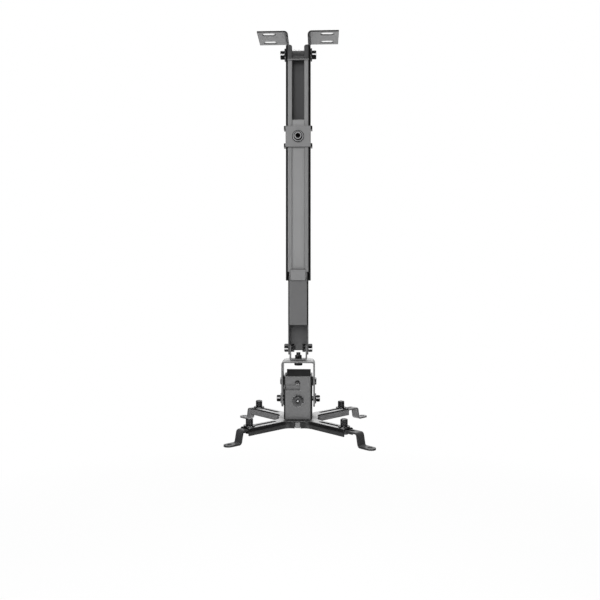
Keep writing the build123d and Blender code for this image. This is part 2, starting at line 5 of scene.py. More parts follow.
import bmesh
import bpy
from bpy.props import FloatProperty, FloatVectorProperty, IntProperty, PointerProperty
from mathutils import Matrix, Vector


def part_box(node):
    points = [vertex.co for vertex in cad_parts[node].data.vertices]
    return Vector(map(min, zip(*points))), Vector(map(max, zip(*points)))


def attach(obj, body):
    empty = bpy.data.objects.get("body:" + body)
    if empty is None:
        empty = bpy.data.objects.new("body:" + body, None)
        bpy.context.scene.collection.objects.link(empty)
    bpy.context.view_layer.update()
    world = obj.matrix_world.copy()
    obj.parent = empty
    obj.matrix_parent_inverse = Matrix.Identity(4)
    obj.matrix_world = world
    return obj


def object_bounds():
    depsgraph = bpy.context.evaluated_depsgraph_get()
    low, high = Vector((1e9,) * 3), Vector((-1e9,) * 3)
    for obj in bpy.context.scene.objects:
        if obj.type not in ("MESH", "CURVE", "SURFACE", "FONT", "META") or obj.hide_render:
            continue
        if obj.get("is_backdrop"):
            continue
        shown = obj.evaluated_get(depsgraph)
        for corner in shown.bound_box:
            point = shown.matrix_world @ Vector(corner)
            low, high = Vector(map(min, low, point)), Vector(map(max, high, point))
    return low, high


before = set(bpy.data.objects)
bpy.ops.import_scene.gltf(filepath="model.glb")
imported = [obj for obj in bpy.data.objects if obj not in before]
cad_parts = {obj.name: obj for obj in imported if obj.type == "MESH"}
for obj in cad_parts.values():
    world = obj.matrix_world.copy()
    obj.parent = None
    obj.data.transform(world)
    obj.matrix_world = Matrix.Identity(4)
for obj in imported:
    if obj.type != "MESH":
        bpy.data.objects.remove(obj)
cad_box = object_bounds()

bl_info = {
    "name": "Projector Ceiling Mount",
    "version": (1, 0, 0),
    "blender": (4, 5, 0),
    "location": "3D View > Sidebar > Ceiling Mount",
    "description": "Coats the mount's sheet metal, blackens its fasteners, adds knurling and sets the stage",
    "category": "Object",
}

IMAGE_SIDE = 600
SENSOR_MM = 36.0
CLIP_START = 0.01
MM = 0.001

# How deep a face's tone reaches, and how soft the borders between tones are
SKIN = 0.3 * MM
SHARP = 0.1 * MM
CRISP = 0.2 * MM
SOFT = 0.5 * MM
BROAD = 3 * MM

# Reach of the tones on the mast and the head: painted shade along the folds, round the upper pivot, on the
# bracket's back wall and below the mouth, painted light low inside the tube's throat, the clamp plate's
# black tabs, and painted shade along the clip's top edge
MAST_FOLD_SHADE = 3.0 * MM
TUBE_FOLD_SHADE = 1.7 * MM
BOX_FOLD_SHADE = 2.0 * MM
BRACKET_SHEET = 2 * MM
PIVOT_DEPTH = 6 * MM
PIVOT_FADE = 1 * MM
MOUTH_FADE = 6 * MM
THROAT_RISE = 18 * MM
THROAT_FADE = 14 * MM
TAB_START = 0.2 * MM
CLIP_EDGE = 0.9 * MM

# Reach of the tones on the spider: its front tab, the painted shade along its top fold, and the painted
# light on the front arms' low walls
TAB_DEPTH = 1 * MM
TAB_RIM = 2 * MM
TOP_FOLD_SHADE = 1.8 * MM
HUB_HALF = 12 * MM
WALL_FADE = 0.8 * MM

# Radii of the tones on the fasteners, which hold painted highlights and painted shade, and the heights of
# the painted highlight bands above the screws' axes
RIM_INNER = 3.2 * MM
RIM_OUTER = 4.5 * MM
WASHER_RING = 6.9 * MM
SOCKET_DOT = 1.2 * MM
SOCKET_EDGE = 2.6 * MM
PIN_CORE = 1.5 * MM
PIN_FADE = 0.4 * MM
BAND_HALF = 0.9 * MM
BAND_RISES = {"ceiling_bolts": -0.9 * MM, "fork_bolts": -0.9 * MM, "lock_screws": 1.1 * MM}
END_FACE = 0.5
END_FADE = 0.1

# Darkest and lightest shade of each finish, as shares of its colour
COAT_SHADES = (0.92, 1.08)
OXIDE_SHADES = (0.7, 1.4)
PLASTIC_SHADES = (0.93, 1.07)

# Powder coat: its flecks, the line of painted shade along its edges, and what its grain does to height and
# gloss
FLECK_EDGE = 0.6
FLECK_FADE = 0.12
FLECK_SHARE = 0.25
FLECK_SHADE = 1.25
LINE_SHADE = 0.15
GRAIN_HEIGHT = 0.5
PEEL_GLOSS = 0.12
CLOUD_GLOSS = 0.08

# Black oxide and plating: how much of the edge is light, how light worn oxide edges with a painted highlight
# are, how dark plated edges with painted shade are, and the marks left by turning
RIM_SHARE = 0.6
WORN_AND_HIGHLIGHT_RIM = 3.0
PAINTED_SHADE_RIM = 0.15
MARK_STRENGTH = 0.15
STAIN_GLOSS = 0.2
OXIDE_SPECULAR = 0.3

# Plastics: the line of painted shade along their edges, the moulded grain and the gloss
PLASTIC_EDGE_SHADE_SHARE = 0.7
PLASTIC_EDGE_SHADE = 0.3
MOULD_STRENGTH = 0.2
MOULD_GLOSS = 0.1
CLIP_ROUGHNESS = 0.5
NYLON_ROUGHNESS = 0.4

# Shared by the finishes
BEVEL_SAMPLES = 6
EDGE_TURN = 0.06
NOISE_MEAN = 0.5

# Details: how far down a bolt's tip is measured, and how far in a seam starts, in beads
TIP_SLICE = 0.1 * MM
SEAM_INSET = 4
TAB_SEAM_INSET = 2

# Stage: the floor, and its white glow near the mount and far away
WHITE = (1, 1, 1, 1)
FLOOR_COLOUR = (0.86, 0.86, 0.86, 1)
FLOOR_RADIUS = 5.0
FLOOR_SEGMENTS = 96
NEAR_GLOW = 0.85
GLOW_EDGE = 1.2
GLOW_FADE = 0.3

# Each lamp's place, sides and power, and whether matte and glossy surfaces see it
LAMPS = (
    ("front_softbox", (-0.2, -1.7, 0.15), (0.5, 1.0), 20.0, True, False),
    ("top_softbox", (0.0, 0.2, 1.1), (0.9, 0.9), 32.0, True, True),
    ("glint_strip", (-0.6, -1.1, 0.0), (0.08, 0.9), 3.0, False, True),
    ("low_strip", (0.0, -0.45, -0.8), (0.9, 0.08), 1.5, False, True),
)

# Black cards: their colour, their top and the two ends of each one's foot
FLAG_COLOUR = (0.01, 0.01, 0.01, 1)
FLAG_TOP = 0.4
FLAG_FEET = {
    "flag_left": ((-0.35, -0.4), (-0.35, 1.3)),
    "flag_right": ((0.35, -0.4), (0.35, 1.3)),
    "flag_front": ((-0.5, -1.25), (0.5, -1.25)),
}

BRACKET_NODES = ("ceiling_bracket_left", "ceiling_bracket_right")
MAST_NODES = ("pivot_strip", "tilt_fork")
LEG_NODES = (
    "leg_front_left",
    "leg_front_right",
    "leg_rear_left",
    "leg_rear_right",
)
FASTENER_NODES = (
    "ceiling_washers",
    "clamp_nut",
    "fork_nuts",
    "swivel_bolt",
    "swivel_nut",
    "tilt_rivets",
    "lock_washers",
    "lock_nuts",
    "release_nut",
    "leg_screws",
    "leg_washers",
    "leg_nuts",
)
NYLON_NODES = ("tilt_spacers", "swivel_washer")


class Signal:
    """An output socket that can be used in Python expressions."""

    def __init__(self, graph, socket):
        self.graph = graph
        self.socket = socket

    def out(self, name):
        """Another output of the same node."""
        return Signal(self.graph, self.socket.node.outputs[name])

    def _math(self, operation, first, second):
        return self.graph.node("ShaderNodeMath", {"operation": operation}, {0: first, 1: second})

    def __add__(self, other):
        return self._math("ADD", self, other)

    __radd__ = __add__

    def __sub__(self, other):
        return self._math("SUBTRACT", self, other)

    def __rsub__(self, other):
        return self._math("SUBTRACT", other, self)

    def __mul__(self, other):
        return self._math("MULTIPLY", self, other)

    __rmul__ = __mul__

    def either(self, other):
        """The larger of two masks."""
        return self._math("MAXIMUM", self, other)

    def above(self, edge, softness):
        """0 below an edge and 1 above it, with a soft step."""
        limits = {"From Min": edge - softness, "From Max": edge + softness}
        return self.graph.node("ShaderNodeMapRange", {"clamp": True}, {"Value": self, **limits})


class Graph:
    """A node tree that is filled node by node."""

    def __init__(self, tree):
        self.tree = tree
        tree.nodes.clear()

    def node(self, kind, settings=None, inputs=None):
        """Adds a node: its settings come first, then the values or links of its sockets."""
        made = self.tree.nodes.new(kind)
        for name, value in (settings or {}).items():
            setattr(made, name, value)
        for name, value in (inputs or {}).items():
            if isinstance(value, Signal):
                self.tree.links.new(value.socket, made.inputs[name])
            else:
                made.inputs[name].default_value = value
        return Signal(self, made.outputs[0]) if made.outputs else made

    def noise(self, place, scale, detail):
        """A noise of 0 to 1, with its scale in cells for each metre."""
        inputs = {"Vector": place, "Scale": scale, "Detail": detail}
        return self.node("ShaderNodeTexNoise", {"noise_dimensions": "3D"}, inputs)

    def blend(self, share, first, second):
        """Mixes two colours."""
        inputs = {"Factor": share, "A": first, "B": second}
        mixed = self.node("ShaderNodeMix", {"data_type": "RGBA"})
        for socket in mixed.socket.node.inputs:
            if socket.enabled and socket.name in inputs:
                value = inputs[socket.name]
                if isinstance(value, Signal):
                    self.tree.links.new(value.socket, socket)
                else:
                    socket.default_value = value
        enabled = [socket for socket in mixed.socket.node.outputs if socket.enabled]
        return Signal(self, enabled[0])


def shade(colour, factor):
    """A colour made lighter or darker, with alpha."""
    return (*(channel * factor for channel in colour), 1.0)


def new_material(name):
    """An empty material and its graph."""
    material = bpy.data.materials.new(name)
    material.use_nodes = True
    return material, Graph(material.node_tree)


def close_material(graph, inputs):
    """Ends a material in a principled shader."""
    surface = graph.node("ShaderNodeBsdfPrincipled", None, inputs)
    graph.node("ShaderNodeOutputMaterial", None, {"Surface": surface})


def soft_edges(graph, radius, reach):
    """The normal rounded at sharp edges, and a mask of those edges out to a reach."""
    rounded = graph.node("ShaderNodeBevel", {"samples": BEVEL_SAMPLES}, {"Radius": radius})
    wide = graph.node("ShaderNodeBevel", {"samples": BEVEL_SAMPLES}, {"Radius": reach})
    flat = graph.node("ShaderNodeNewGeometry").out("Normal")
    turned = graph.node("ShaderNodeVectorMath", {"operation": "DOT_PRODUCT"}, {0: wide, 1: flat})
    return rounded, (1.0 - turned.out("Value")).above(EDGE_TURN, EDGE_TURN)


def clouded(graph, cloud, colour, shades):
    """A colour that changes with a noise between a dark and a light shade."""
    dark, light = shades
    return graph.blend(cloud, shade(colour, dark), shade(colour, light))


def powder_coat(name, colour, finish, tones=()):
    """Satin powder coat with orange peel, fine grain and a darker line of painted shade along the edges.

    Each of tones is a mask, made from the graph and the place, and the coat's other colour there.
    """
    material, graph = new_material(name)
    place = graph.node("ShaderNodeTexCoord").out("Object")
    peel = graph.noise(place, finish.peel_cells, detail=2.0)
    grain = graph.noise(place, finish.grain_cells, detail=1.0)
    cloud = graph.noise(place, finish.cloud_cells, detail=3.0)
    rounded, edge = soft_edges(graph, finish.edge_radius, finish.line_radius)
    coat = clouded(graph, cloud, colour, COAT_SHADES)
    flecks = grain.above(FLECK_EDGE, FLECK_FADE) * FLECK_SHARE
    coat = graph.blend(flecks, coat, shade(colour, FLECK_SHADE))
    for mask, other in tones:
        toned = clouded(graph, cloud, other, COAT_SHADES)
        coat = graph.blend(mask(graph, place), coat, toned)
    coat = graph.blend(edge * finish.edge_shade, coat, shade(colour, LINE_SHADE))
    gloss = (peel - NOISE_MEAN) * PEEL_GLOSS + (cloud - NOISE_MEAN) * CLOUD_GLOSS
    bump = graph.node(
        "ShaderNodeBump",
        None,
        {
            "Strength": finish.peel_strength,
            "Distance": finish.peel_height,
            "Height": peel + grain * GRAIN_HEIGHT,
            "Normal": rounded,
        },
    )
    close_material(
        graph,
        {
            "Base Color": coat,
            "Roughness": finish.coat_roughness + gloss,
            "Metallic": finish.coat_metal,
            "Normal": bump,
        },
    )
    return material


def blackened_steel(name, colour, finish, metal, rim, tones=()):
    """Black oxide or dull plating on steel, with turning marks; rim sets how light its edges are, lighter
    for wear and a painted highlight, darker for painted shade.

    Each of tones is a mask, made from the graph and the place, and the colour there, which isn't metallic.
    """
    material, graph = new_material(name)
    place = graph.node("ShaderNodeTexCoord").out("Object")
    stain = graph.noise(place, finish.stain_cells, detail=4.0)
    marks = graph.noise(place, finish.grain_cells, detail=2.0)
    rounded, edge = soft_edges(graph, finish.edge_radius, finish.edge_radius)
    oxide = clouded(graph, stain, colour, OXIDE_SHADES)
    for mask, other in tones:
        toned = mask(graph, place)
        oxide = graph.blend(toned, oxide, shade(other, 1.0))
        metal = metal * (1.0 - toned)
    oxide = graph.blend(edge * RIM_SHARE, oxide, shade(colour, rim))
    bump = graph.node(
        "ShaderNodeBump",
        None,
        {"Strength": MARK_STRENGTH, "Distance": finish.peel_height, "Height": marks, "Normal": rounded},
    )
    close_material(
        graph,
        {
            "Base Color": oxide,
            "Roughness": finish.steel_roughness + (stain - NOISE_MEAN) * STAIN_GLOSS,
            "Metallic": metal,
            "Specular IOR Level": OXIDE_SPECULAR,
            "Normal": bump,
        },
    )
    return material


def moulded_plastic(name, colour, finish, roughness, tones=()):
    """Moulded plastic with a fine spark-eroded grain and a line of painted shade along its edges; tones are
    masks and the colours there.
    """
    material, graph = new_material(name)
    place = graph.node("ShaderNodeTexCoord").out("Object")
    grain = graph.node(
        "ShaderNodeTexVoronoi", {"feature": "F1"}, {"Vector": place, "Scale": finish.mould_cells}
    )
    cloud = graph.noise(place, finish.cloud_cells, detail=2.0)
    rounded, edge = soft_edges(graph, finish.edge_radius, finish.line_radius)
    body = clouded(graph, cloud, colour, PLASTIC_SHADES)
    for mask, other in tones:
        body = graph.blend(mask(graph, place), body, shade(other, 1.0))
    body = graph.blend(edge * PLASTIC_EDGE_SHADE_SHARE, body, shade(colour, PLASTIC_EDGE_SHADE))
    bump = graph.node(
        "ShaderNodeBump",
        None,
        {"Strength": MOULD_STRENGTH, "Distance": finish.peel_height, "Height": grain, "Normal": rounded},
    )
    gloss = (cloud - NOISE_MEAN) * MOULD_GLOSS
    close_material(graph, {"Base Color": body, "Roughness": roughness + gloss, "Normal": bump})
    return material


def part_of(graph, place, axis):
    """One coordinate of a place."""
    return graph.node("ShaderNodeSeparateXYZ", None, {"Vector": place}).out(axis)


def off_axis(graph, place, axis):
    """How far a place lies from the mast's axis along one coordinate."""
    return graph.node("ShaderNodeMath", {"operation": "ABSOLUTE"}, {0: part_of(graph, place, axis)})


def from_axis(graph, place, node):
    """How far a place lies from the axis of a node that points to the front."""
    low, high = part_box(node)
    away = graph.node("ShaderNodeVectorMath", {"operation": "SUBTRACT"}, {0: place, 1: (low + high) / 2})
    flat = graph.node("ShaderNodeVectorMath", {"operation": "MULTIPLY"}, {0: away, 1: (1, 0, 1)})
    return graph.node("ShaderNodeVectorMath", {"operation": "LENGTH"}, {0: flat}).out("Value")


def dress(nodes, material):
    """Gives CAD nodes a material through their slots."""
    for name in nodes:
        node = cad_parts[name]
        if not node.material_slots:
            node.data.materials.append(material)
        for slot in node.material_slots:
            slot.material = material


def solid_boxes(node, axes):
    """The corners of a node's like solids, which lie on different sides of the given axes' planes."""
    groups = {}
    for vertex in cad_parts[node].data.vertices:
        key = tuple(vertex.co[axis] > 0 for axis in axes)
        groups.setdefault(key, []).append(vertex.co)
    boxes = []
    for points in groups.values():
        low = Vector(min(p[i] for p in points) for i in range(3))
        high = Vector(max(p[i] for p in points) for i in range(3))
        boxes.append((low, high))
    return boxes


def node_group(name, sockets):
    """A geometry tree with named inputs, and its graph with the group's input node."""
    tree = bpy.data.node_groups.new(name, "GeometryNodeTree")
    for label, kind in sockets:
        tree.interface.new_socket(name=label, in_out="INPUT", socket_type=kind)
    tree.interface.new_socket(name="Geometry", in_out="OUTPUT", socket_type="NodeSocketGeometry")
    graph = Graph(tree)
    return tree, graph, graph.node("NodeGroupInput")


def close_group(graph, shape, material):
    """Ends a geometry tree in real, painted geometry."""
    real = graph.node("GeometryNodeRealizeInstances", None, {"Geometry": shape})
    painted = graph.node("GeometryNodeSetMaterial", None, {"Geometry": real, "Material": material})
    graph.node("NodeGroupOutput", None, {"Geometry": painted})


def grow(name, tree, values, base=None):
    """Runs a geometry tree on a base mesh and keeps the result as a plain mesh object."""
    piece = bpy.data.objects.new(name, base or bpy.data.meshes.new(name))
    bpy.context.scene.collection.objects.link(piece)
    modifier = piece.modifiers.new(name, "NODES")
    modifier.node_group = tree
    for item in tree.interface.items_tree:
        if item.in_out == "INPUT" and item.name in values:
            modifier[item.identifier] = values[item.name]
    graph = bpy.context.evaluated_depsgraph_get()
    mesh = bpy.data.meshes.new_from_object(piece.evaluated_get(graph))
    mesh.name = name
    piece.modifiers.clear()
    piece.data = mesh
    if not mesh.polygons:
        raise RuntimeError(f"{name} has no faces")
    return piece


def seats_mesh(name, seats):
    """Points where screw heads sit, each with the direction that its head faces."""
    mesh = bpy.data.meshes.new(name)
    mesh.from_pydata([tuple(place) for place, _ in seats], [], [])
    facing = mesh.attributes.new("facing", "FLOAT_VECTOR", "POINT")
    for index, (_, direction) in enumerate(seats):
        facing.data[index].vector = direction
    return mesh


def knurling_tree():
    """Ridges round a screw's head, set on every seat."""
    tree, graph, given = node_group(
        "screw_knurling",
        (
            ("Geometry", "NodeSocketGeometry"),
            ("Ridges", "NodeSocketInt"),
            ("Head Radius", "NodeSocketFloat"),
            ("Ridge Radius", "NodeSocketFloat"),
            ("Ridge Length", "NodeSocketFloat"),
            ("Ridge Middle", "NodeSocketFloat"),
            ("Material", "NodeSocketMaterial"),
        ),
    )
    rim = graph.node(
        "GeometryNodeMeshCircle",
        None,
        {"Vertices": given.out("Ridges"), "Radius": given.out("Head Radius")},
    )
    ridge = graph.node(
        "GeometryNodeMeshCylinder",
        None,
        {"Vertices": 6, "Radius": given.out("Ridge Radius"), "Depth": given.out("Ridge Length")},
    )
    ring = graph.node("GeometryNodeInstanceOnPoints", None, {"Points": rim, "Instance": ridge})
    lift = graph.node("ShaderNodeCombineXYZ", None, {"Z": given.out("Ridge Middle")})
    ring = graph.node("GeometryNodeTransform", None, {"Geometry": ring, "Translation": lift})
    facing = graph.node("GeometryNodeInputNamedAttribute", {"data_type": "FLOAT_VECTOR"}, {"Name": "facing"})
    turn = graph.node("FunctionNodeAlignRotationToVector", {"axis": "Z"}, {"Vector": facing})
    rings = graph.node(
        "GeometryNodeInstanceOnPoints",
        None,
        {"Points": given.out("Geometry"), "Instance": ring, "Rotation": turn},
    )
    close_group(graph, rings, given.out("Material"))
    return tree


def thread_tree():
    """A screw thread: a small round section swept along a spiral."""
    tree, graph, given = node_group(
        "screw_thread",
        (
            ("Turns", "NodeSocketFloat"),
            ("Radius", "NodeSocketFloat"),
            ("Height", "NodeSocketFloat"),
            ("Crest", "NodeSocketFloat"),
            ("Start", "NodeSocketVector"),
            ("Material", "NodeSocketMaterial"),
        ),
    )
    spiral = graph.node(
        "GeometryNodeCurveSpiral",
        None,
        {
            "Resolution": 28,
            "Rotations": given.out("Turns"),
            "Start Radius": given.out("Radius"),
            "End Radius": given.out("Radius"),
            "Height": given.out("Height"),
        },
    )
    section = graph.node(
        "GeometryNodeCurvePrimitiveCircle", None, {"Resolution": 5, "Radius": given.out("Crest")}
    )
    swept = graph.node(
        "GeometryNodeCurveToMesh", None, {"Curve": spiral, "Profile Curve": section, "Fill Caps": True}
    )
    placed = graph.node(
        "GeometryNodeTransform", None, {"Geometry": swept, "Translation": given.out("Start")}
    )
    close_group(graph, placed, given.out("Material"))
    return tree


def weld_tree():
    """Rows of overlapping weld beads along the base mesh's edges."""
    tree, graph, given = node_group(
        "weld_row",
        (
            ("Geometry", "NodeSocketGeometry"),
            ("Bead Radius", "NodeSocketFloat"),
            ("Bead Step", "NodeSocketFloat"),
            ("Material", "NodeSocketMaterial"),
        ),
    )
    path = graph.node("GeometryNodeMeshToCurve", None, {"Mesh": given.out("Geometry")})
    spacing = {"Curve": path, "Length": given.out("Bead Step")}
    points = graph.node("GeometryNodeCurveToPoints", {"mode": "LENGTH"}, spacing)
    bead = graph.node(
        "GeometryNodeMeshUVSphere", None, {"Segments": 12, "Rings": 8, "Radius": given.out("Bead Radius")}
    )
    swell = graph.node(
        "FunctionNodeRandomValue",
        {"data_type": "FLOAT_VECTOR"},
        {0: (0.9, 0.85, 0.8), 1: (1.15, 1.1, 1.05), "Seed": 7},
    )
    row = graph.node(
        "GeometryNodeInstanceOnPoints", None, {"Points": points, "Instance": bead, "Scale": swell}
    )
    close_group(graph, row, given.out("Material"))
    return tree


class MountFinish(bpy.types.PropertyGroup):
    """The colours, the painted light and shade, and the surface grain of the mount's materials."""

    mast_colour: FloatVectorProperty(
        name="Mast Coat",
        description="Powder coat of the ceiling brackets, the mast, the fork and the yoke",
        subtype="COLOR",
        size=3,
        default=(0.235, 0.235, 0.237),
    )
    head_colour: FloatVectorProperty(
        name="Box Coat",
        description="Powder coat of the tilt box and the spider's bracket",
        subtype="COLOR",
        size=3,
        default=(0.172, 0.172, 0.174),
    )
    # Painted light: the flat tops of the yoke, the hub and the arms are made lighter, as lit from above
    top_light_colour: FloatVectorProperty(
        name="Top Coat",
        description="Powder coat on the flat tops of the yoke, the hub and the arms",
        subtype="COLOR",
        size=3,
        default=(0.4, 0.4, 0.402),
    )
    # Black of the bolts, screws and the clamp plate's tabs, and painted shade along folds and edges, on
    # washer rims, in a socket and on the pin
    black_and_shade_colour: FloatVectorProperty(
        name="Black Coat",
        description="Black along the folds, on the clamp plate's tabs and on the front fasteners",
        subtype="COLOR",
        size=3,
        default=(0.008, 0.008, 0.008),
    )
    # Painted light: the sliding tube's face above the mast's mouth made lighter than the mast, as it sits
    # back and gets less light
    panel_light_colour: FloatVectorProperty(
        name="Panel Coat",
        description="Powder coat of the sliding tube above the mast's mouth",
        subtype="COLOR",
        size=3,
        default=(0.288, 0.288, 0.29),
    )
    # Painted shade: the sliding tube made darker below the mast's mouth
    tube_shade_colour: FloatVectorProperty(
        name="Tube Coat",
        description="Powder coat of the sliding tube below the mast's mouth",
        subtype="COLOR",
        size=3,
        default=(0.162, 0.162, 0.164),
    )
    # Painted shade round the upper pivot, on its sleeve and on the back wall of the spider's bracket
    ear_shade_colour: FloatVectorProperty(
        name="Ear Coat",
        description="Dark coat round the upper pivot, on its sleeve and on the spider bracket's back",
        subtype="COLOR",
        size=3,
        default=(0.048, 0.048, 0.049),
    )
    inside_colour: FloatVectorProperty(
        name="Inside Coat",
        description="Powder coat inside the mast's channels",
        subtype="COLOR",
        size=3,
        default=(0.075, 0.075, 0.077),
    )
    # Painted shade: the spider's front and folds are near black, far darker than its rear
    spider_shade_colour: FloatVectorProperty(
        name="Spider Coat",
        description="Powder coat of the spider's front and its folds",
        subtype="COLOR",
        size=3,
        default=(0.012, 0.012, 0.0125),
    )
    # The front legs' coat, darker than the rear legs' as painted shade, and painted light on the front arms'
    # lower walls
    leg_shade_and_wall_light_colour: FloatVectorProperty(
        name="Leg Coat",
        description="Powder coat of the sliding legs and of the front arms' low walls",
        subtype="COLOR",
        size=3,
        default=(0.055, 0.055, 0.056),
    )
    # Painted light: the spider's rear arms and legs made lighter than the front
    rear_light_colour: FloatVectorProperty(
        name="Rear Spider Coat",
        description="Powder coat of the spider's rear arms and legs",
        subtype="COLOR",
        size=3,
        default=(0.2, 0.2, 0.202),
    )
    steel_colour: FloatVectorProperty(
        name="Black Steel",
        description="Black oxide of the screws, nuts, rivets and washers",
        subtype="COLOR",
        size=3,
        default=(0.08, 0.08, 0.082),
    )
    # Dull plating of the release pin and the washers, and a painted highlight ring on the clamp screw's head
    plating_and_highlight_ring_colour: FloatVectorProperty(
        name="Dull Plating",
        description="Dull plating of the release pin, its screw's washer and the clamp screw's rings",
        subtype="COLOR",
        size=3,
        default=(0.3, 0.3, 0.305),
    )
    # Painted highlight: the light dot in the release screw's socket and the light bands on bolts and lock
    # screws
    painted_highlight_colour: FloatVectorProperty(
        name="Bright Steel",
        description="Bare steel in the release screw's socket and in bands on bolts and lock screws",
        subtype="COLOR",
        size=3,
        default=(0.75, 0.75, 0.755),
    )
    clip_colour: FloatVectorProperty(
        name="Guide Clip",
        description="Moulded plastic of the guide clip",
        subtype="COLOR",
        size=3,
        default=(0.215, 0.215, 0.217),
    )
    nylon_colour: FloatVectorProperty(
        name="Nylon",
        description="Nylon of the friction washer and the spacers",
        subtype="COLOR",
        size=3,
        default=(0.05, 0.05, 0.05),
    )
    sheet: FloatProperty(
        name="Channel Sheet", description="Sheet of the mast's channels", default=0.0015, unit="LENGTH"
    )
    coat_roughness: FloatProperty(
        name="Coat Roughness", description="Roughness of the powder coat", default=0.36, min=0, max=1
    )
    coat_metal: FloatProperty(
        name="Coat Metal", description="Metal flake in the powder coat", default=0.2, min=0, max=1
    )
    steel_roughness: FloatProperty(
        name="Steel Roughness", description="Roughness of the black oxide", default=0.24, min=0, max=1
    )
    steel_metal: FloatProperty(
        name="Steel Metal", description="How metallic the black oxide is", default=0.95, min=0, max=1
    )
    peel_cells: FloatProperty(
        name="Peel Cells", description="Orange peel cells for each metre", default=850.0
    )
    grain_cells: FloatProperty(
        name="Grain Cells", description="Grain cells for each metre", default=4200.0
    )
    cloud_cells: FloatProperty(
        name="Cloud Cells", description="Slow changes of shade for each metre", default=16.0
    )
    stain_cells: FloatProperty(
        name="Stain Cells", description="Oxide stains for each metre", default=320.0
    )
    mould_cells: FloatProperty(
        name="Mould Cells", description="Cells of the moulded grain for each metre", default=2600.0
    )
    peel_strength: FloatProperty(
        name="Peel Strength", description="Strength of the coat's bump", default=0.22, min=0, max=1
    )
    peel_height: FloatProperty(
        name="Peel Height", description="Height of the coat's bump", default=0.00012, unit="LENGTH"
    )
    edge_radius: FloatProperty(
        name="Edge Radius", description="Rounding of sheared edges", default=0.0008, unit="LENGTH"
    )
    # The line radius and the edge shade set the reach and the darkness of the painted shade along edges
    line_radius: FloatProperty(
        name="Line Radius", description="Reach of the dark line along edges", default=0.0015, unit="LENGTH"
    )
    edge_shade: FloatProperty(
        name="Edge Shade", description="How dark the coat is along its edges", default=0.75, min=0, max=1
    )


class MountDetail(bpy.types.PropertyGroup):
    """The sizes of the knurling, the thread and the weld."""

    ridges: IntProperty(name="Ridges", description="Ridges round a screw's head", default=36, min=8)
    ridge_radius: FloatProperty(
        name="Ridge Radius", description="Radius of one ridge", default=0.00024, unit="LENGTH"
    )
    ridge_margin: FloatProperty(
        name="Ridge Margin",
        description="Plain band at the head's seat and top",
        default=0.0009,
        unit="LENGTH",
    )
    thread_pitch: FloatProperty(
        name="Thread Pitch", description="Rise of one turn of the thread", default=0.0008, unit="LENGTH"
    )
    thread_crest: FloatProperty(
        name="Thread Crest", description="Height of the thread's crest", default=0.00032, unit="LENGTH"
    )
    bead_radius: FloatProperty(
        name="Bead Radius", description="Radius of a weld bead", default=0.0011, unit="LENGTH"
    )
    bead_step: FloatProperty(
        name="Bead Step", description="Distance between weld beads", default=0.001, unit="LENGTH"
    )
    tab_half: FloatProperty(
        name="Tab Half",
        description="From the middle to the slit beside the hub's tab",
        default=0.0035,
        unit="LENGTH",
    )
    tab_back: FloatProperty(
        name="Tab Back", description="Where the back of the hub's tab lies", default=-0.0235, unit="LENGTH"
    )


class MountStage(bpy.types.PropertyGroup):
    """The camera, the lamps and the floor."""

    camera_distance: FloatProperty(
        name="Camera Distance", description="From the mast's axis", default=0.801, unit="LENGTH"
    )
    camera_azimuth: FloatProperty(
        name="Camera Azimuth", description="Turn from the front", default=radians(2.2), subtype="ANGLE"
    )
    camera_drop: FloatProperty(
        name="Camera Drop", description="Below the ceiling plane", default=0.3226, unit="LENGTH"
    )
    focal_pixels: FloatProperty(
        name="Focal Length", description="In pixels of a 600 pixel frame", default=615.0
    )
    axis_column: FloatProperty(
        name="Axis Column", description="Pixel column of the camera's axis", default=298.4
    )
    horizon_row: FloatProperty(
        name="Horizon Row", description="Pixel row of the camera's level", default=284.85
    )
    floor_drop: FloatProperty(
        name="Floor Drop", description="Floor below the ceiling plane", default=0.85, unit="LENGTH"
    )
    ambient: FloatProperty(
        name="Ambient", description="Strength of the even light", default=0.22, min=0
    )


class MountOperator:
    """What the mount's operators share."""

    bl_options = {"REGISTER", "UNDO"}

    def finish_of(self, context):
        return context.scene.mount_finish

    def detail_of(self, context):
        return context.scene.mount_detail


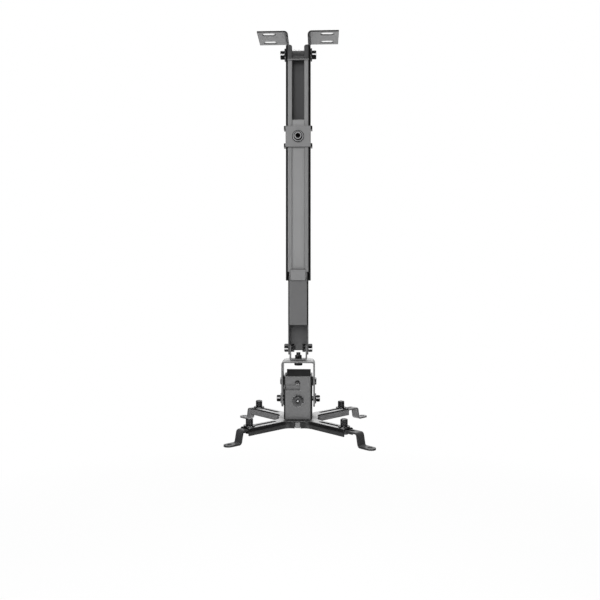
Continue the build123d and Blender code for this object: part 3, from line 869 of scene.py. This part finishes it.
class COAT_OT_mast(MountOperator, bpy.types.Operator):
    """Coats the ceiling brackets, the mast, the fork, the yoke, the tilt box and the spider's bracket"""

    bl_idname = "projector_mount.coat_mast"
    bl_label = "Coat Mast and Head"

    def execute(self, context):
        finish = self.finish_of(context)
        mast = finish.mast_colour
        head = finish.head_colour
        tube = finish.tube_shade_colour
        dark = finish.inside_colour
        black = finish.black_and_shade_colour
        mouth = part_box("outer_channel")[0].z
        edge_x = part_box("outer_channel")[1].x
        mast_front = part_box("outer_channel")[0].y
        strip_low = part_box("pivot_strip")[0].z
        back_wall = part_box("spider_bracket")[1].y - BRACKET_SHEET
        yoke_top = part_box("tilt_yoke")[1].z
        flange_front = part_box("ceiling_bracket_left")[0].y
        tube_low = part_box("inner_channel")[0].z

        def inside(node):
            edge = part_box(node)[1] - Vector((1, 1, 1)) * (finish.sheet - SKIN)

            def mask(graph, place):
                side = off_axis(graph, place, "X").above(edge.x, SHARP)
                return 1.0 - side.either(off_axis(graph, place, "Y").above(edge.y, SHARP))

            return mask

        # Painted shade: the front folds of a channel or box made black
        def shaded_bends(node, reach):
            low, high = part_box(node)

            def mask(graph, place):
                side = off_axis(graph, place, "X").above(high.x - reach, SOFT)
                return side * (1.0 - part_of(graph, place, "Y").above(low.y + reach, SOFT))

            return mask

        # Painted light: inside the tube's throat, lighter towards its open bottom and darker higher up
        def lit_low_inside(graph, place):
            higher = part_of(graph, place, "Z").above(tube_low + THROAT_RISE, THROAT_FADE)
            return inside("inner_channel")(graph, place) * (1.0 - higher)

        # Painted shade: the brackets' front edges made black
        def shaded_front_edge(graph, place):
            return 1.0 - part_of(graph, place, "Y").above(flange_front + SKIN, SHARP)

        # Painted shade: the front of the channel's top, round the upper pivot, made dark
        def shaded_pivot(graph, place):
            side = off_axis(graph, place, "X").above(edge_x - SKIN, SHARP)
            behind = part_of(graph, place, "Y").above(mast_front + PIVOT_DEPTH, PIVOT_FADE)
            return part_of(graph, place, "Z").above(strip_low, PIVOT_FADE) * (1.0 - side.either(behind))

        # Painted shade: the tube darker below the mast's mouth, with a soft step
        def shaded_below_mouth(graph, place):
            return 1.0 - part_of(graph, place, "Z").above(mouth + MOUTH_FADE, MOUTH_FADE)

        def beyond_mast(graph, place):
            return off_axis(graph, place, "X").above(edge_x + TAB_START, SHARP)

        # Painted shade: the back wall of the spider's bracket made dark
        def shaded_back(graph, place):
            return part_of(graph, place, "Y").above(back_wall, SHARP)

        # Painted light: the yoke's top made lighter, as lit from above
        def lit_yoke_top(graph, place):
            return part_of(graph, place, "Z").above(yoke_top - SKIN, SHARP)

        outer_tones = (
            (shaded_pivot, finish.ear_shade_colour),
            (inside("outer_channel"), dark),
            (shaded_bends("outer_channel", MAST_FOLD_SHADE), black),
        )
        tube_tones = (
            (shaded_below_mouth, tube),
            (inside("inner_channel"), dark),
            (lit_low_inside, tube),
            (shaded_bends("inner_channel", TUBE_FOLD_SHADE), black),
        )
        toned = (
            ("outer_channel", mast, outer_tones),
            ("inner_channel", finish.panel_light_colour, tube_tones),
            ("clamp_plate", mast, ((beyond_mast, black),)),
            ("tilt_yoke", mast, ((lit_yoke_top, finish.top_light_colour),)),
            ("tilt_box", head, ((shaded_bends("tilt_box", BOX_FOLD_SHADE), black),)),
            ("spider_bracket", head, ((shaded_back, finish.ear_shade_colour),)),
        )
        dress(MAST_NODES, powder_coat("mast_coat", mast, finish))
        for node, colour, tones in toned:
            dress((node,), powder_coat(node + "_coat", colour, finish, tones))
        dress(BRACKET_NODES, powder_coat("bracket_coat", mast, finish, ((shaded_front_edge, black),)))
        return {"FINISHED"}


class COAT_OT_spider(MountOperator, bpy.types.Operator):
    """Coats the spider and its four legs"""

    bl_idname = "projector_mount.coat_spider"
    bl_label = "Coat Spider and Legs"

    def execute(self, context):
        finish = self.finish_of(context)
        detail = self.detail_of(context)
        hub_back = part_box("spider_bracket")[1].y
        spider_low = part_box("spider_base")[0].z
        spider_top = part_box("spider_base")[1].z
        spider_middle = (spider_low + spider_top) / 2
        box_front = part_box("tilt_box")[0].y
        box_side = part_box("tilt_box")[1].x

        # Painted light and shade: the spider and its legs lighter towards the back and darker at the front
        def lighter_towards_back(graph, place):
            return part_of(graph, place, "Y").above(0, hub_back)

        def at_tab(graph, place):
            front = 1.0 - part_of(graph, place, "Y").above(detail.tab_back + TAB_DEPTH, SOFT)
            below = 1.0 - part_of(graph, place, "Z").above(spider_top - TAB_RIM, CRISP)
            return front * below * (1.0 - off_axis(graph, place, "X").above(detail.tab_half, SHARP))

        # Painted light: the flat tops of the hub and arms behind and beside the box made lighter, as lit
        # from above
        def lit_top(graph, place):
            behind = part_of(graph, place, "Y").above(box_front, SKIN)
            beside = off_axis(graph, place, "X").above(box_side, BROAD)
            return part_of(graph, place, "Z").above(spider_top - SKIN, SHARP) * behind.either(beside)

        # Painted light: the front arms' lower walls away from the hub made lighter
        def lit_low_wall(graph, place):
            beside = off_axis(graph, place, "X").above(HUB_HALF, BROAD)
            lower = 1.0 - part_of(graph, place, "Z").above(spider_middle, WALL_FADE)
            return lower * beside * (1.0 - lighter_towards_back(graph, place))

        # Painted shade: a black band along the fold under the spider's top
        def shaded_top_fold(graph, place):
            return part_of(graph, place, "Z").above(spider_top - TOP_FOLD_SHADE, SKIN)

        rear = (lighter_towards_back, finish.rear_light_colour)
        dress(LEG_NODES, powder_coat("leg_coat", finish.leg_shade_and_wall_light_colour, finish, (rear,)))
        tones = (
            rear,
            (lit_low_wall, finish.leg_shade_and_wall_light_colour),
            (shaded_top_fold, finish.spider_shade_colour),
            (lit_top, finish.top_light_colour),
            (at_tab, finish.mast_colour),
        )
        dress(("spider_base",), powder_coat("spider_coat", finish.spider_shade_colour, finish, tones))
        return {"FINISHED"}


class COAT_OT_fasteners(MountOperator, bpy.types.Operator):
    """Blackens the bolts, screws, nuts, rivets and washers, and plates the release pin"""

    bl_idname = "projector_mount.blacken_fasteners"
    bl_label = "Blacken Fasteners"

    def execute(self, context):
        finish = self.finish_of(context)
        black = finish.black_and_shade_colour
        grey_oxide = (finish.steel_colour, finish, finish.steel_metal, WORN_AND_HIGHLIGHT_RIM)
        black_oxide = (black, finish, finish.steel_metal, WORN_AND_HIGHLIGHT_RIM)
        plating = (finish.plating_and_highlight_ring_colour, finish, finish.steel_metal, PAINTED_SHADE_RIM)

        # Painted highlight: a light ring on the clamp screw's head
        def highlight_rim(graph, place):
            away = from_axis(graph, place, "clamp_screw")
            return away.above(RIM_INNER, CRISP) * (1.0 - away.above(RIM_OUTER, CRISP))

        # The clamp washer's plated face; beyond it the washer's rim is black as painted shade
        def washer_face(graph, place):
            return 1.0 - from_axis(graph, place, "clamp_washer").above(WASHER_RING, CRISP)

        # Painted highlight: a light dot in the release screw's socket
        def socket_highlight(graph, place):
            return 1.0 - from_axis(graph, place, "release_screw").above(SOCKET_DOT, CRISP)

        # The release screw's face; within it the socket is black as painted shade
        def head_face(graph, place):
            return from_axis(graph, place, "release_screw").above(SOCKET_EDGE, SKIN)

        def pin_shade(graph, place):
            low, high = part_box("release_pin")
            upper = part_of(graph, place, "Z").above((low.z + high.z) / 2, PIN_FADE)
            return upper * from_axis(graph, place, "release_pin").above(PIN_CORE, SKIN)

        def glint(node, rise):
            low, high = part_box(node)
            middle = (low.z + high.z) / 2 + rise

            def mask(graph, place):
                height = part_of(graph, place, "Z")
                above = height.above(middle - BAND_HALF, CRISP)
                band = above * (1.0 - height.above(middle + BAND_HALF, CRISP))
                normal = graph.node("ShaderNodeNewGeometry").out("Normal")
                return band * (1.0 - off_axis(graph, normal, "X").above(END_FACE, END_FADE))

            return mask

        dress(FASTENER_NODES, blackened_steel("black_oxide", *grey_oxide))
        ring = ((highlight_rim, finish.plating_and_highlight_ring_colour),)
        dress(("clamp_screw",), blackened_steel("clamp_oxide", *black_oxide, ring))
        dot = ((socket_highlight, finish.painted_highlight_colour), (head_face, finish.steel_colour))
        socket = blackened_steel("release_oxide", black, finish, metal=0.0, rim=1.0, tones=dot)
        dress(("release_screw",), socket)
        face = ((washer_face, finish.plating_and_highlight_ring_colour),)
        dress(("clamp_washer",), blackened_steel("washer_oxide", *black_oxide, face))
        dress(("release_washer",), blackened_steel("dull_plating", *plating))
        arc = ((pin_shade, black),)
        dress(("release_pin",), blackened_steel("pin_plating", *plating, arc))
        for node, rise in BAND_RISES.items():
            band = ((glint(node, rise), finish.painted_highlight_colour),)
            dress((node,), blackened_steel(node + "_oxide", *black_oxide, band))
        # The pivot's sleeve takes the painted shade colour, with edges darkened further as painted shade
        sleeve = blackened_steel("pivot_shade_oxide", finish.ear_shade_colour, finish, metal=0.1, rim=0.4)
        dress(("ceiling_spacer",), sleeve)
        return {"FINISHED"}


class COAT_OT_plastics(MountOperator, bpy.types.Operator):
    """Gives the guide clip, the friction washer and the spacers their plastics"""

    bl_idname = "projector_mount.mould_plastics"
    bl_label = "Mould Plastics"

    def execute(self, context):
        finish = self.finish_of(context)
        clip_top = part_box("guide_clip")[1].z

        # Painted shade: a black line along the guide clip's top edge
        def shaded_top_edge(graph, place):
            return part_of(graph, place, "Z").above(clip_top - CLIP_EDGE, CRISP)

        edge = ((shaded_top_edge, finish.black_and_shade_colour),)
        clip = moulded_plastic("clip_plastic", finish.clip_colour, finish, CLIP_ROUGHNESS, edge)
        dress(("guide_clip",), clip)
        dress(NYLON_NODES, moulded_plastic("nylon", finish.nylon_colour, finish, NYLON_ROUGHNESS))
        return {"FINISHED"}


class DETAIL_OT_knurling(MountOperator, bpy.types.Operator):
    """Cuts knurling round the heads of the socket screws"""

    bl_idname = "projector_mount.knurl_screws"
    bl_label = "Knurl Screws"

    def execute(self, context):
        detail = self.detail_of(context)
        tree = knurling_tree()
        washer_tops = {
            "leg_screws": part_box("leg_washers")[1].z,
            "lock_screws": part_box("lock_washers")[1].x,
            "release_screw": -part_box("release_washer")[0].y,
            "clamp_screw": -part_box("clamp_washer")[0].y,
        }
        # Each screw's body, the axes its copies lie either side of, its own axis and the way it faces
        groups = (
            ("leg_screws", "head", (0, 1), 2, 1),
            ("lock_screws", "head", (0,), 0, None),
            ("release_screw", "head", (), 1, -1),
            ("clamp_screw", "extension", (), 1, -1),
        )
        for node, body, split, axis, facing in groups:
            seats = []
            for low, high in solid_boxes(node, split):
                side = facing or (1 if high[axis] + low[axis] > 0 else -1)
                seat = (low + high) / 2
                across = (axis + 1) % 3
                head_radius = (high[across] - low[across]) / 2
                top = max(side * low[axis], side * high[axis])
                seat[axis] = side * washer_tops[node]
                direction = Vector((0, 0, 0))
                direction[axis] = side
                seats.append((seat, direction))
            length = top - washer_tops[node] - 2 * detail.ridge_margin
            # The knurling takes its screw's own material, with any painted highlight band on it
            piece = grow(
                node + "_knurling",
                tree,
                {
                    "Ridges": detail.ridges,
                    "Head Radius": head_radius,
                    "Ridge Radius": detail.ridge_radius,
                    "Ridge Length": length,
                    "Ridge Middle": detail.ridge_margin + length / 2,
                    "Material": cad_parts[node].material_slots[0].material,
                },
                seats_mesh(node + "_seats", seats),
            )
            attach(piece, body)
        return {"FINISHED"}


class DETAIL_OT_thread(MountOperator, bpy.types.Operator):
    """Cuts the thread on the tip of the swivel bolt"""

    bl_idname = "projector_mount.thread_swivel"
    bl_label = "Thread Swivel Bolt"

    def execute(self, context):
        detail = self.detail_of(context)
        nut_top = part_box("swivel_nut")[1].z
        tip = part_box("swivel_bolt")[1].z
        points = [vertex.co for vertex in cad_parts["swivel_bolt"].data.vertices]
        shank_radius = max(point.x for point in points if point.z > tip - TIP_SLICE)
        height = tip - nut_top - 2 * detail.thread_crest
        piece = grow(
            "swivel_thread",
            thread_tree(),
            {
                "Turns": height / detail.thread_pitch,
                "Radius": shank_radius,
                "Height": height,
                "Crest": detail.thread_crest,
                "Start": (0.0, 0.0, nut_top + detail.thread_crest),
                "Material": bpy.data.materials["black_oxide"],
            },
        )
        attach(piece, "fork")
        return {"FINISHED"}


class DETAIL_OT_weld(MountOperator, bpy.types.Operator):
    """Welds the spider's bracket to the hub along its back, and the hub's front tab to its rim"""

    bl_idname = "projector_mount.weld_bracket"
    bl_label = "Weld Bracket"

    def execute(self, context):
        detail = self.detail_of(context)
        low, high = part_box("spider_bracket")
        seam = bpy.data.meshes.new("weld_seam")
        inset = SEAM_INSET * detail.bead_radius
        ends = [(low.x + inset, high.y, low.z), (high.x - inset, high.y, low.z)]
        hub_low, hub_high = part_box("spider_base")
        tab_inset = TAB_SEAM_INSET * detail.bead_radius
        for x in (-detail.tab_half, detail.tab_half):
            ends.append((x, detail.tab_back, hub_low.z + tab_inset))
            ends.append((x, detail.tab_back, hub_high.z - tab_inset))
        seam.from_pydata(ends, [(0, 1), (2, 3), (4, 5)], [])
        piece = grow(
            "bracket_weld",
            weld_tree(),
            {
                "Bead Radius": detail.bead_radius,
                "Bead Step": detail.bead_step,
                "Material": bpy.data.materials["spider_coat"],
            },
            seam,
        )
        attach(piece, "head")
        return {"FINISHED"}


class STAGE_OT_studio(MountOperator, bpy.types.Operator):
    """Sets up the floor, the lamps and the camera"""

    bl_idname = "projector_mount.set_stage"
    bl_label = "Set Stage"

    def execute(self, context):
        stage = context.scene.mount_stage
        self.set_world(context.scene, stage)
        self.set_floor(context.scene, stage)
        self.set_lamps(context.scene)
        self.set_flags(context.scene, stage)
        self.set_camera(context.scene, stage)
        context.scene.view_settings.view_transform = "Standard"
        return {"FINISHED"}

    def shown_white(self, graph):
        """1 for rays that should see the plain white surroundings."""
        path = graph.node("ShaderNodeLightPath")
        seen = path.out("Is Camera Ray") + path.out("Is Glossy Ray") + path.out("Is Transmission Ray")
        return graph.node("ShaderNodeMath", {"operation": "MINIMUM"}, {0: seen, 1: 1.0})

    def set_world(self, scene, stage):
        world = bpy.data.worlds.new("white_studio")
        world.use_nodes = True
        scene.world = world
        graph = Graph(world.node_tree)
        even = graph.node("ShaderNodeBackground", None, {"Color": WHITE, "Strength": stage.ambient})
        white = graph.node("ShaderNodeBackground", None, {"Color": WHITE, "Strength": 1.0})
        sky = graph.node("ShaderNodeMixShader", None, {0: self.shown_white(graph), 1: even, 2: white})
        graph.node("ShaderNodeOutputWorld", None, {"Surface": sky})

    def set_floor(self, scene, stage):
        material, graph = new_material("pale_floor")
        matte = graph.node("ShaderNodeBsdfDiffuse", None, {"Color": FLOOR_COLOUR})
        glow = graph.node("ShaderNodeEmission", None, {"Color": WHITE, "Strength": 1.0})
        place = graph.node("ShaderNodeTexCoord").out("Object")
        away = graph.node("ShaderNodeVectorMath", {"operation": "LENGTH"}, {0: place}).out("Value")
        far_glow = away.above(GLOW_EDGE, GLOW_FADE) * (1.0 - NEAR_GLOW)
        share = self.shown_white(graph) * (NEAR_GLOW + far_glow)
        surface = graph.node("ShaderNodeMixShader", None, {0: share, 1: matte, 2: glow})
        graph.node("ShaderNodeOutputMaterial", None, {"Surface": surface})
        shape = bmesh.new()
        bmesh.ops.create_circle(shape, cap_ends=True, segments=FLOOR_SEGMENTS, radius=FLOOR_RADIUS)
        bmesh.ops.translate(shape, verts=shape.verts, vec=(0, 0, -stage.floor_drop))
        mesh = bpy.data.meshes.new("floor")
        shape.to_mesh(mesh)
        shape.free()
        mesh.materials.append(material)
        floor = bpy.data.objects.new("floor", mesh)
        scene.collection.objects.link(floor)
        floor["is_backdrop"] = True

    def set_lamps(self, scene):
        aim = (Vector(cad_box[0]) + Vector(cad_box[1])) / 2
        for name, place, sides, power, matte, glossy in LAMPS:
            lamp = bpy.data.lights.new(name, "AREA")
            lamp.shape = "RECTANGLE"
            lamp.size, lamp.size_y = sides
            lamp.energy = power
            holder = bpy.data.objects.new(name, lamp)
            holder.location = place
            holder.visible_camera = False
            holder.visible_diffuse = matte
            holder.visible_glossy = glossy
            holder.rotation_mode = "QUATERNION"
            holder.rotation_quaternion = (aim - Vector(place)).to_track_quat("-Z", "Y")
            scene.collection.objects.link(holder)

    def set_flags(self, scene, stage):
        """Black cards round the mount, which only its gloss can see."""
        material, graph = new_material("black_flag")
        matte = graph.node("ShaderNodeBsdfDiffuse", None, {"Color": FLAG_COLOUR})
        graph.node("ShaderNodeOutputMaterial", None, {"Surface": matte})
        foot = -stage.floor_drop
        for name, (start, end) in FLAG_FEET.items():
            corners = [(*start, foot), (*end, foot), (*end, FLAG_TOP), (*start, FLAG_TOP)]
            mesh = bpy.data.meshes.new(name)
            mesh.from_pydata(corners, [], [(0, 1, 2, 3)])
            mesh.materials.append(material)
            flag = bpy.data.objects.new(name, mesh)
            flag.visible_camera = False
            flag.visible_diffuse = False
            flag.visible_shadow = False
            scene.collection.objects.link(flag)
            flag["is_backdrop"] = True

    def set_camera(self, scene, stage):
        camera = bpy.data.cameras.new("photo_camera")
        camera.sensor_width = SENSOR_MM
        camera.lens = SENSOR_MM * stage.focal_pixels / IMAGE_SIDE
        camera.shift_x = (IMAGE_SIDE / 2 - stage.axis_column) / IMAGE_SIDE
        camera.shift_y = (stage.horizon_row - IMAGE_SIDE / 2) / IMAGE_SIDE
        camera.clip_start = CLIP_START
        holder = bpy.data.objects.new("photo_camera", camera)
        turn = stage.camera_azimuth
        distance = stage.camera_distance
        holder.location = (distance * sin(turn), -distance * cos(turn), -stage.camera_drop)
        holder.rotation_euler = (pi / 2, 0.0, turn)
        scene.collection.objects.link(holder)
        scene.camera = holder


OPERATORS = (
    COAT_OT_mast,
    COAT_OT_spider,
    COAT_OT_fasteners,
    COAT_OT_plastics,
    DETAIL_OT_knurling,
    DETAIL_OT_thread,
    DETAIL_OT_weld,
    STAGE_OT_studio,
)


class VIEW3D_PT_projector_mount(bpy.types.Panel):
    """The mount's finishes, details and stage"""

    bl_label = "Ceiling Mount"
    bl_space_type = "VIEW_3D"
    bl_region_type = "UI"
    bl_category = "Ceiling Mount"

    def draw(self, context):
        layout = self.layout
        for operator in OPERATORS:
            layout.operator(operator.bl_idname)
        scene = context.scene
        for group in (scene.mount_finish, scene.mount_detail, scene.mount_stage):
            column = layout.column(align=True)
            for name in group.__annotations__:
                column.prop(group, name)


GROUPS = {"mount_finish": MountFinish, "mount_detail": MountDetail, "mount_stage": MountStage}
CLASSES = (*GROUPS.values(), *OPERATORS, VIEW3D_PT_projector_mount)


def register():
    for item in CLASSES:
        bpy.utils.register_class(item)
    for name, group in GROUPS.items():
        setattr(bpy.types.Scene, name, PointerProperty(type=group))


def unregister():
    for name in GROUPS:
        delattr(bpy.types.Scene, name)
    for item in reversed(CLASSES):
        bpy.utils.unregister_class(item)


def main():
    """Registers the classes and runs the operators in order."""
    register()
    bpy.ops.projector_mount.coat_mast()
    bpy.ops.projector_mount.coat_spider()
    bpy.ops.projector_mount.blacken_fasteners()
    bpy.ops.projector_mount.mould_plastics()
    bpy.ops.projector_mount.knurl_screws()
    bpy.ops.projector_mount.thread_swivel()
    bpy.ops.projector_mount.weld_bracket()
    bpy.ops.projector_mount.set_stage()
    boxes = {"cad": cad_box, "visual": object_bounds()}
    boxes = {name: [list(corner) for corner in box] for name, box in boxes.items()}


if __name__ == "__main__":
    main()
